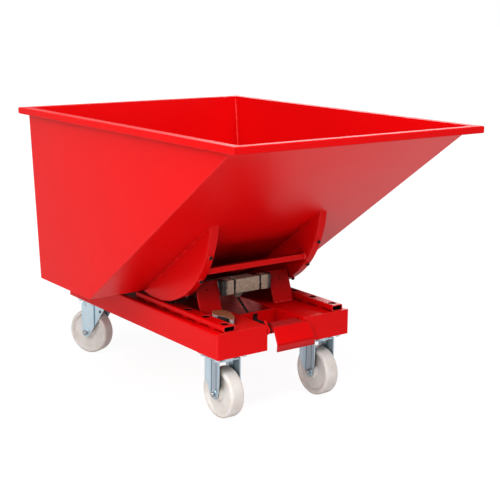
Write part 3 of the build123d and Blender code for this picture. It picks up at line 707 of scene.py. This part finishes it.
def make_dark_steel():
    """Blackened steel of the pegs, pins and rod, with hardly any shine and a faint painted highlight on
    the edges.
    """
    material, tree, shader = new_material("dark_steel")
    mottle = patches(tree, scale=140.0, detail=4.0, between=(0.3, 0.7))
    normal = soft_normal(tree, radius=0.0008)
    colour = mix(tree, mottle, DARK_DEEP, DARK_PALE)
    # Faint painted highlight along the edges
    colour = pale_edges(tree, colour, normal, strength=0.1, pale=DARK_EDGE)
    set_looks(tree, shader, colour, mottle, sharpest=0.5, dullest=0.7)
    shader.inputs["IOR"].default_value = 1.12
    bump(tree, shader, mottle, strength=0.1, normal=normal)
    return material


def make_bare_steel():
    """Turned steel with fine rings round its axis."""
    material, tree, shader = new_material("bare_steel")
    rings = patches(
        tree, scale=300.0, detail=2.0, between=(0.35, 0.65), roughness=0.5, stretch=(1.0, 0.1, 0.1)
    )
    set_looks(tree, shader, mix(tree, rings, BARE_PALE, BARE_DEEP), rings, sharpest=0.28, dullest=0.4)
    shader.inputs["Metallic"].default_value = 0.9
    bump(tree, shader, rings, strength=0.06, normal=soft_normal(tree, radius=0.001))
    return material


def make_burnt_weld():
    """Bare weld metal, blue-black with brighter crests."""
    material, tree, shader = new_material("burnt_weld")
    mottle = patches(tree, scale=260.0, detail=4.0, between=(0.35, 0.7))
    set_looks(tree, shader, mix(tree, mottle, BEAD_DEEP, BEAD_PALE), mottle, sharpest=0.35, dullest=0.6)
    shader.inputs["Metallic"].default_value = 0.5
    bump(tree, shader, mottle, strength=0.2)
    return material


# Materials of the solids: by slot, apart from nodes that have one of their own

red = make_red_paint("red_paint")
weld_red = make_weld_paint()
burnt_weld = make_burnt_weld()
by_slot = {
    "red_paint": red,
    "zinc": make_zinc("zinc"),
    "nylon": make_nylon(),
    "raw_steel": make_raw_steel(),
    "cut_steel": make_cut_steel(),
    "dark_steel": make_dark_steel(),
    "bare_steel": make_bare_steel(),
}
flap_paint = make_flap_paint()
special = {
    "well_floor": make_thin_paint(),
    "release_flap": flap_paint,
    "chute_panel": make_red_paint("chute_paint", index=1.21),
}
rim_paint = make_red_paint("rim_paint", radius=0.0012, wear_and_highlight=0.35, sharpest=0.42)
for side in ("front", "back", *SIDES):
    special["rim_" + side] = rim_paint
in_pairs = {
    "track_": make_track_paint(),
    "fork_channel_": make_channel_paint(),
    "upright_": make_upright_paint(),
    "fixed_bracket_": make_zinc("bracket_zinc", bracket_marks_and_shade),
    "swivel_fork_": make_zinc("fork_zinc", fork_bend_shade),
}
for start, material in in_pairs.items():
    for side in SIDES:
        special[start + side] = material
axle_zinc = make_axle_zinc()
for name in ("front_axle_bolts", "front_axle_nuts", "rear_axle_left", "rear_axle_right"):
    special[name] = axle_zinc

for entry in frame["record"]["subparts"]:
    name = entry["node"]
    mesh = frame["nodes"][name].data
    mesh.materials.clear()
    mesh.materials.append(special.get(name, by_slot[entry["material_slot"]]))


# Meshes of the scene's own pieces


def add_ring(mesh, centre, side, other, radius, count):
    """A circle of vertices round a centre, in the plane of two directions."""
    ring = []
    for index in range(count):
        angle = 2 * math.pi * index / count
        outward = side * math.cos(angle) + other * math.sin(angle)
        ring.append(mesh.verts.new(centre + outward * radius))
    return ring


def join_rings(mesh, rings, closed=False):
    """Faces from ring to ring. The ends are capped, or joined to each other when closed."""
    pairs = list(zip(rings, rings[1:]))
    if closed:
        pairs.append((rings[-1], rings[0]))
    for first, second in pairs:
        for index in range(len(first)):
            following = (index + 1) % len(first)
            mesh.faces.new((first[index], first[following], second[following], second[index]))
    if not closed:
        mesh.faces.new(list(reversed(rings[0])))
        mesh.faces.new(rings[-1])


def add_piece(name, mesh, material, body, smooth=False):
    """Turns a mesh into a piece that rides on a body."""
    bmesh.ops.recalc_face_normals(mesh, faces=mesh.faces)
    data = bpy.data.meshes.new(name)
    mesh.to_mesh(data)
    mesh.free()
    for face in data.polygons:
        face.use_smooth = smooth
    piece = bpy.data.objects.new(name, data)
    scene.collection.objects.link(piece)
    data.materials.append(material)
    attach(piece, body)
    return piece


# Weld beads

BEAD_SIDES = 8
# Length of a ripple in bead radii, rings in a ripple and fewest rings.
RIPPLE_LENGTH = 1.1
RIPPLE_RINGS = 3
FEWEST_RINGS = 6
# Shares of the radius: the bead's core, its ripples and a slow wander.
BEAD_CORE = 0.84
RIPPLE_HEIGHT = 0.16
WANDER_HEIGHT = 0.08
# The wander in radians per metre, and how each bead's waves are shifted against the last one's.
WANDER_RATE = 190
WANDER_SHIFT = 3
BEAD_SHIFT = 1.7
# Least square of the size at a bead's tips.
TIP_LEAST = 0.02


def add_bead(mesh, start, end, radius, shift):
    """One rippled bead along a straight seam, with rounded ends."""
    start = Vector(start)
    along = Vector(end) - start
    length = along.length
    along.normalize()
    side = along.orthogonal().normalized()
    other = along.cross(side)
    pitch = radius * RIPPLE_LENGTH
    steps = max(FEWEST_RINGS, int(length / pitch * RIPPLE_RINGS))
    rings = []
    for step in range(steps + 1):
        distance = step / steps * length
        wave = RIPPLE_HEIGHT * abs(math.sin(math.pi * distance / pitch + shift))
        wander = WANDER_HEIGHT * math.sin(distance * WANDER_RATE + shift * WANDER_SHIFT)
        size = radius * (BEAD_CORE + wave + wander)
        closeness = min(distance, length - distance) / radius
        if closeness < 1:
            size *= math.sqrt(max(TIP_LEAST, 1 - (1 - closeness) ** 2))
        rings.append(add_ring(mesh, start + along * distance, side, other, size, BEAD_SIDES))
    join_rings(mesh, rings)


def stitches(start, end, bead, pitch, lead):
    """Short stretches along a seam, one every pitch, from a lead on."""
    start = Vector(start)
    end = Vector(end)
    length = (end - start).length
    along = (end - start) / length
    pieces = []
    distance = lead
    while distance + bead <= length:
        pieces.append((start + along * distance, start + along * (distance + bead)))
        distance += pitch
    return pieces


def weld_piece(name, seams, radius, body, material):
    mesh = bmesh.new()
    for count, (start, end) in enumerate(seams):
        add_bead(mesh, start, end, radius, count * BEAD_SHIFT)
    add_piece(name, mesh, material, body, smooth=True)


def toward(first, second, share):
    return tuple(a + (b - a) * share for a, b in zip(first, second))


# Seams inside the bin. Its corners are (y, z) on the inner faces of the sheets.

BIN_BEAD = 0.0036
SEAM_FROM = 0.01
SEAM_TO = 0.985
floor_low, floor_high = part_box("floor_panel")
chute_low, chute_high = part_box("chute_panel")
back_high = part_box("back_panel")[1]
sheet = floor_high.z - floor_low.z
lean = math.atan2(back_high.y - floor_high.y, back_high.z - floor_low.z)
back_foot = (floor_high.y - sheet / math.cos(lean) + sheet * math.tan(lean), floor_high.z)
back_head = (back_high.y - sheet / math.cos(lean), chute_high.z)
chute_foot = (chute_high.y, floor_high.z)
chute_head = (chute_low.y, chute_high.z)
seams = []
for x in (-floor_high.x, floor_high.x):
    for first, second in ((back_foot, back_head), (chute_foot, chute_head), (chute_foot, back_foot)):
        near = toward(first, second, SEAM_FROM)
        far = toward(first, second, SEAM_TO)
        seams.append(((x, *near), (x, *far)))
for foot in (chute_foot, back_foot):
    seams.append(((-floor_high.x, *foot), (floor_high.x, *foot)))
weld_piece("bin_seam_welds", seams, BIN_BEAD, "bin", weld_red)

# Stitches between the rockers and the underside of the chute

ROCKER_BEAD = 0.0032
ROCKER_INSET = 0.012
ROCKER_STITCH = 0.035
ROCKER_PITCH = 0.062
ROCKER_LEAD = 0.01
chute_slope = (chute_high.z - floor_high.z) / (chute_foot[0] - chute_head[0])
seams = []
for side in SIDES:
    strip_low, strip_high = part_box("rocker_strip_" + side)
    head_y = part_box("rocker_webs_" + side)[0].y + ROCKER_INSET
    foot_y = floor_low.y - ROCKER_INSET
    for x in (strip_low.x, strip_high.x):
        top, bottom = ((x, y, floor_low.z + (floor_low.y - y) * chute_slope) for y in (head_y, foot_y))
        seams += stitches(top, bottom, ROCKER_STITCH, ROCKER_PITCH, ROCKER_LEAD)
weld_piece("rocker_stitch_welds", seams, ROCKER_BEAD, "bin", red)

# Top, front and bottom of both ends of the cross bar

BAR_BEAD = 0.0028
bar_low, bar_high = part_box("rocker_cross_bar")
seams = []
for x in (bar_low.x, bar_high.x):
    front_low = (x, bar_low.y, bar_low.z)
    front_high = (x, bar_low.y, bar_high.z)
    seams.append((front_high, (x, bar_high.y, bar_high.z)))
    seams.append((front_low, front_high))
    seams.append((front_low, (x, bar_high.y, bar_low.z)))
weld_piece("cross_bar_welds", seams, BAR_BEAD, "bin", weld_red)

# Stitches along both lower edges of the tracks

TRACK_BEAD = 0.0028
TRACK_INSET = 0.0015
TRACK_FRONT = 0.02
TRACK_BACK = 0.01
TRACK_RAISE = 0.001
TRACK_STITCH = 0.03
TRACK_PITCH = 0.075
TRACK_LEAD = 0.03
seams = []
for side in SIDES:
    low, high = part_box("track_" + side)
    for x in (low.x + TRACK_INSET, high.x - TRACK_INSET):
        front = (x, low.y + TRACK_FRONT, deck + TRACK_RAISE)
        back = (x, high.y - TRACK_BACK, deck + TRACK_RAISE)
        seams += stitches(front, back, TRACK_STITCH, TRACK_PITCH, TRACK_LEAD)
weld_piece("track_stitch_welds", seams, TRACK_BEAD, "base", red)

# Front and back of the feet of the uprights

UPRIGHT_BEAD = 0.003
UPRIGHT_WIDTH = 0.080
UPRIGHT_FOOT = 0.0064
UPRIGHT_INSET = 0.002
seams = []
for side in SIDES:
    low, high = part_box("upright_" + side)
    outer = low.x if abs(low.x) > abs(high.x) else high.x
    left, right = sorted((outer, outer - math.copysign(UPRIGHT_WIDTH, outer)))
    for y in (low.y, low.y + UPRIGHT_FOOT):
        seams.append(((left + UPRIGHT_INSET, y, deck), (right - UPRIGHT_INSET, y, deck)))
weld_piece("upright_welds", seams, UPRIGHT_BEAD, "base", weld_red)

# Black welds where the latch end blocks meet the uprights

END_BEAD = 0.004
END_LEAN = 0.012
END_INSET = 0.003
seams = []
for x in (-end_high.x, end_high.x):
    foot = (x, end_high.y - END_LEAN, end_low.z + END_INSET)
    seams.append((foot, (x, end_high.y, end_high.z - END_INSET)))
weld_piece("latch_end_welds", seams, END_BEAD, "base", burnt_weld)


# Washers and threaded ends on the axles

LATHE_SIDES = 28
AXLE_RADIUS = 0.006
AXLE_HEX = 0.008
WASHER_INNER = 0.0085
WASHER_OUTER = 0.0135
WASHER_THICK = 0.002
WASHER_CHAMFER = 0.0004
THREAD_PITCH = 0.00125
THREAD_DEPTH = 0.0005
THREAD_TURNS = 2
axle_end = front_axle.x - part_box("front_axle_bolts")[0].x


def add_lathe(mesh, centre, axis, profile, closed):
    """Turns a profile of (distance along the axis, radius) round the axis."""
    side = axis.orthogonal().normalized()
    other = axis.cross(side)
    rings = []
    for distance, radius in profile:
        rings.append(add_ring(mesh, centre + axis * distance, side, other, radius, LATHE_SIDES))
    join_rings(mesh, rings, closed)


def washer_profile():
    near = axle_end - AXLE_HEX
    far = near + WASHER_THICK
    return [
        (near, WASHER_INNER),
        (near, WASHER_OUTER),
        (far - WASHER_CHAMFER, WASHER_OUTER),
        (far, WASHER_OUTER - WASHER_CHAMFER),
        (far, WASHER_INNER),
    ]


def thread_profile():
    """Threaded stub past the hexagon, with a chamfered end."""
    points = [(axle_end - THREAD_PITCH, AXLE_RADIUS - THREAD_DEPTH)]
    for turn in range(THREAD_TURNS):
        start = axle_end + turn * THREAD_PITCH
        points.append((start + THREAD_PITCH / 2, AXLE_RADIUS))
        points.append((start + THREAD_PITCH, AXLE_RADIUS - THREAD_DEPTH))
    last = axle_end + THREAD_TURNS * THREAD_PITCH
    points.append((last + THREAD_PITCH / 2, AXLE_RADIUS - 3 * THREAD_DEPTH))
    return points


def lathe_piece(name, centres, axis, profile, closed, body, material):
    """The same profile at both ends of each axle."""
    mesh = bmesh.new()
    for centre in centres:
        for direction in (axis, -axis):
            add_lathe(mesh, centre, direction, profile, closed)
    add_piece(name, mesh, material, body)


front_centres = [centre_of("front_wheel_" + side) for side in SIDES]
axle_sets = [("front", "base", front_centres, Vector((1, 0, 0)))]
swung_axis = Vector((trail.y, -trail.x, 0))
for side in SIDES:
    axle_sets.append(("rear_" + side, "swivel_" + side, [centre_of("rear_wheel_" + side)], swung_axis))
for label, body, centres, axis in axle_sets:
    washers, threads = label + "_axle_washers", label + "_axle_threads"
    lathe_piece(washers, centres, axis, washer_profile(), True, body, by_slot["zinc"])
    lathe_piece(threads, centres, axis, thread_profile(), False, body, by_slot["bare_steel"])


# Release flap, one bent plate with slanted ends

FLAP_PLATE = 0.004
FLAP_BEND = 0.006
FLAP_BEND_STEPS = 4
# Corners of the back face from the top edge to the lip, as y and z from the sleeve's axis, and x of the
# right end at each corner and at the shoulder.
FLAP_CORNERS = ((-0.0002, 0.0200), (-0.0130, 0.0104), (-0.0357, -0.0423), (-0.0338, -0.0642))
FLAP_ENDS = (0.042, 0.061, 0.096, 0.096)
FLAP_SHOULDER = 0.087
FLAP_BEAD = 0.002
# Place of the weld round the sleeve's axis, and how far it stays from the sleeve's ends.
FLAP_WELD_REACH = 0.0144
FLAP_WELD_ANGLE = 154.5
FLAP_WELD_INSET = 0.004


def toward_fold(corner, other):
    """Point half a bend away from a corner, on the way to its neighbour."""
    run = math.hypot(other.x - corner.x, other.y - corner.y)
    return corner.lerp(other, FLAP_BEND / 2 / run)


def flap_rows():
    """Rows of (y, z, right end) along the back face, with rounded folds."""
    corners = [Vector((y, z, end)) for (y, z), end in zip(FLAP_CORNERS, FLAP_ENDS)]
    rows = [corners[0]]
    for before, corner, after in zip(corners, corners[1:], corners[2:]):
        into = toward_fold(corner, before)
        out = toward_fold(corner, after)
        for step in range(FLAP_BEND_STEPS + 1):
            share = step / FLAP_BEND_STEPS
            rows.append(into.lerp(corner, share).lerp(corner.lerp(out, share), share))
    rows.append(corners[-1])
    return rows


def flap_fronts(rows):
    """Front face points, one plate thickness out from the back face."""
    fronts = []
    for index, row in enumerate(rows):
        before, after = rows[max(index - 1, 0)], rows[min(index + 1, len(rows) - 1)]
        along = Vector((after.x - before.x, after.y - before.y)).normalized()
        fronts.append(Vector((row.x + along.y * FLAP_PLATE, row.y - along.x * FLAP_PLATE, row.z)))
    return fronts


def flap_line(mesh, row, places):
    """Vertices across the flap at one row of a face."""
    y = sleeve_axis.y + row.x
    z = sleeve_axis.z + row.y
    return [mesh.verts.new((x, y, z)) for x in places]


def make_flap_plate():
    """Plate from its rows. Below the first fold it is wider, with a shoulder at the right."""
    rows = flap_rows()
    shoulder_row = FLAP_BEND_STEPS + 1
    mesh = bmesh.new()
    lines = []
    for index, pair in enumerate(zip(rows, flap_fronts(rows))):
        places = [flap_low.x, rows[index].z]
        if index == shoulder_row:
            places.append(FLAP_SHOULDER)
        lines.append([flap_line(mesh, row, places) for row in pair])
    for index, (upper, lower) in enumerate(zip(lines, lines[1:])):
        if index + 1 == shoulder_row:
            lower = [line[:2] for line in lower]
        for first, second in zip(upper, lower):
            mesh.faces.new(first + second[::-1])
        for end in (0, -1):
            mesh.faces.new((upper[0][end], upper[1][end], lower[1][end], lower[0][end]))
    back, front = lines[shoulder_row]
    mesh.faces.new((back[1], back[2], front[2], front[1]))
    for back, front in (lines[0], lines[-1]):
        mesh.faces.new(back + front[::-1])
    piece = add_piece("flap_plate", mesh, flap_paint, "release")
    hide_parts("release_flap")


make_flap_plate()
weld_angle = math.radians(FLAP_WELD_ANGLE)
weld_y = sleeve_axis.y + FLAP_WELD_REACH * math.cos(weld_angle)
weld_z = sleeve_axis.z + FLAP_WELD_REACH * math.sin(weld_angle)
weld_ends = (sleeve_low.x + FLAP_WELD_INSET, sleeve_high.x - FLAP_WELD_INSET)
flap_seam = tuple((x, weld_y, weld_z) for x in weld_ends)
weld_piece("flap_weld", [flap_seam], FLAP_BEAD, "release", weld_red)


# Floor and surroundings

STAGE_HALF = 40.0
STAGE_GREY = (0.78, 0.78, 0.78, 1)
STAGE_GLOW = 1.1
# Share of the glow, at the object and far away, and the distances between which it changes.
SEEN_SHARE = (0.84, 1.0)
SEEN_DISTANCE = (1.0, 3.0)
MIRRORED_SHARE = (0.3, 1.0)
MIRRORED_DISTANCE = (0.5, 2.0)
WORLD_WHITE = (1, 1, 1, 1)
WORLD_LIGHT = 0.2
WORLD_SEEN = 1.0
# Name, place, target, side of the square and watts of each lamp.
LAMPS = (
    ("key_lamp", (-4.0, -0.8, 3.6), (0, 0, 0.5), 2.6, 138),
    ("fill_lamp", (0.4, -3.2, 4.7), (0, 0, 0.4), 1.2, 128),
    ("low_lamp", (-3.6, -3.2, 1.7), (0, -0.2, 0.25), 1.2, 70),
    ("top_lamp", (-1.6, -1.0, 4.4), (0, 0, 0.8), 1.5, 60),
    ("back_lamp", (3.4, 3.2, 2.4), (0, 0, 0.5), 2.2, 70),
)


def blend_surfaces(tree, share, first, second, output):
    blend = tree.nodes.new("ShaderNodeMixShader")
    tree.links.new(share, blend.inputs[0])
    tree.links.new(first.outputs[0], blend.inputs[1])
    tree.links.new(second.outputs[0], blend.inputs[2])
    tree.links.new(blend.outputs[0], output.inputs["Surface"])


def make_floor_material():
    """Grey that takes the soft shadow, mixed with white for the camera and for reflections."""
    material = bpy.data.materials.new("stage_floor")
    material.use_nodes = True
    tree = material.node_tree
    tree.nodes.clear()
    output = tree.nodes.new("ShaderNodeOutputMaterial")
    matt = tree.nodes.new("ShaderNodeBsdfDiffuse")
    matt.inputs["Color"].default_value = STAGE_GREY
    glow = tree.nodes.new("ShaderNodeEmission")
    glow.inputs["Strength"].default_value = STAGE_GLOW
    path = tree.nodes.new("ShaderNodeLightPath")
    length = tree.nodes.new("ShaderNodeVectorMath")
    length.operation = "LENGTH"
    tree.links.new(place(tree), length.inputs[0])
    far = length.outputs["Value"]
    seen = maths(tree, "MAXIMUM", path.outputs["Is Camera Ray"], path.outputs["Is Transmission Ray"])
    seen = maths(tree, "MULTIPLY", seen, spread(tree, far, *SEEN_DISTANCE, *SEEN_SHARE))
    mirrored = spread(tree, far, *MIRRORED_DISTANCE, *MIRRORED_SHARE)
    mirrored = maths(tree, "MULTIPLY", path.outputs["Is Glossy Ray"], mirrored)
    blend_surfaces(tree, maths(tree, "MAXIMUM", seen, mirrored), matt, glow, output)
    return material


def make_floor():
    data = bpy.data.meshes.new("stage_floor")
    half = STAGE_HALF
    corners = [(-half, -half, 0), (half, -half, 0), (half, half, 0), (-half, half, 0)]
    data.from_pydata(corners, [], [(0, 1, 2, 3)])
    data.materials.append(make_floor_material())
    floor = bpy.data.objects.new("stage_floor", data)
    scene.collection.objects.link(floor)


def make_world():
    """Weak light from all round, seen as white by the camera and in reflections."""
    world = bpy.data.worlds.new("studio")
    scene.world = world
    world.use_nodes = True
    tree = world.node_tree
    tree.nodes.clear()
    output = tree.nodes.new("ShaderNodeOutputWorld")
    backgrounds = []
    for strength in (WORLD_LIGHT, WORLD_SEEN):
        background = tree.nodes.new("ShaderNodeBackground")
        background.inputs["Color"].default_value = WORLD_WHITE
        background.inputs["Strength"].default_value = strength
        backgrounds.append(background)
    path = tree.nodes.new("ShaderNodeLightPath")
    seen = maths(tree, "MAXIMUM", path.outputs["Is Camera Ray"], path.outputs["Is Glossy Ray"])
    seen = maths(tree, "MAXIMUM", seen, path.outputs["Is Transmission Ray"])
    blend_surfaces(tree, seen, *backgrounds, output)


def make_lamp(name, spot, target, size, power):
    data = bpy.data.lights.new(name, "AREA")
    data.shape = "SQUARE"
    data.size = size
    data.energy = power
    lamp = bpy.data.objects.new(name, data)
    lamp.location = spot
    lamp.rotation_euler = (Vector(target) - Vector(spot)).to_track_quat("-Z", "Y").to_euler()
    scene.collection.objects.link(lamp)


make_floor()
make_world()
for lamp_values in LAMPS:
    make_lamp(*lamp_values)


# Camera, in degrees, millimetres of film and metres. It stands ahead of the base's front wall.

CAMERA_YAW = 36.18
CAMERA_PITCH = -12.53
CAMERA_ROLL = 0.41
CAMERA_FOCAL = 81.594
CAMERA_SENSOR = 36.0
CAMERA_SIDE = -2.09783
CAMERA_AHEAD = 2.67585
CAMERA_HEIGHT = 1.2745
CAMERA_REACH = 200


def make_camera():
    yaw = math.radians(CAMERA_YAW)
    pitch = math.radians(CAMERA_PITCH)
    roll = math.radians(CAMERA_ROLL)
    level = math.cos(pitch)
    ahead = Vector((math.sin(yaw) * level, math.cos(yaw) * level, math.sin(pitch)))
    right = Vector((math.cos(yaw), -math.sin(yaw), 0))
    up = right.cross(ahead)
    rolled_right = right * math.cos(roll) + up * math.sin(roll)
    rolled_up = up * math.cos(roll) - right * math.sin(roll)
    data = bpy.data.cameras.new("camera")
    data.lens = CAMERA_FOCAL
    data.sensor_width = CAMERA_SENSOR
    data.sensor_fit = "HORIZONTAL"
    data.clip_end = CAMERA_REACH
    camera = bpy.data.objects.new("camera", data)
    turn = Matrix((rolled_right, rolled_up, -ahead)).transposed().to_4x4()
    spot = (CAMERA_SIDE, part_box("front_wall_left")[0].y - CAMERA_AHEAD, CAMERA_HEIGHT)
    camera.matrix_world = Matrix.Translation(spot) @ turn
    scene.collection.objects.link(camera)
    scene.camera = camera


make_camera()
scene.view_settings.view_transform = "Standard"
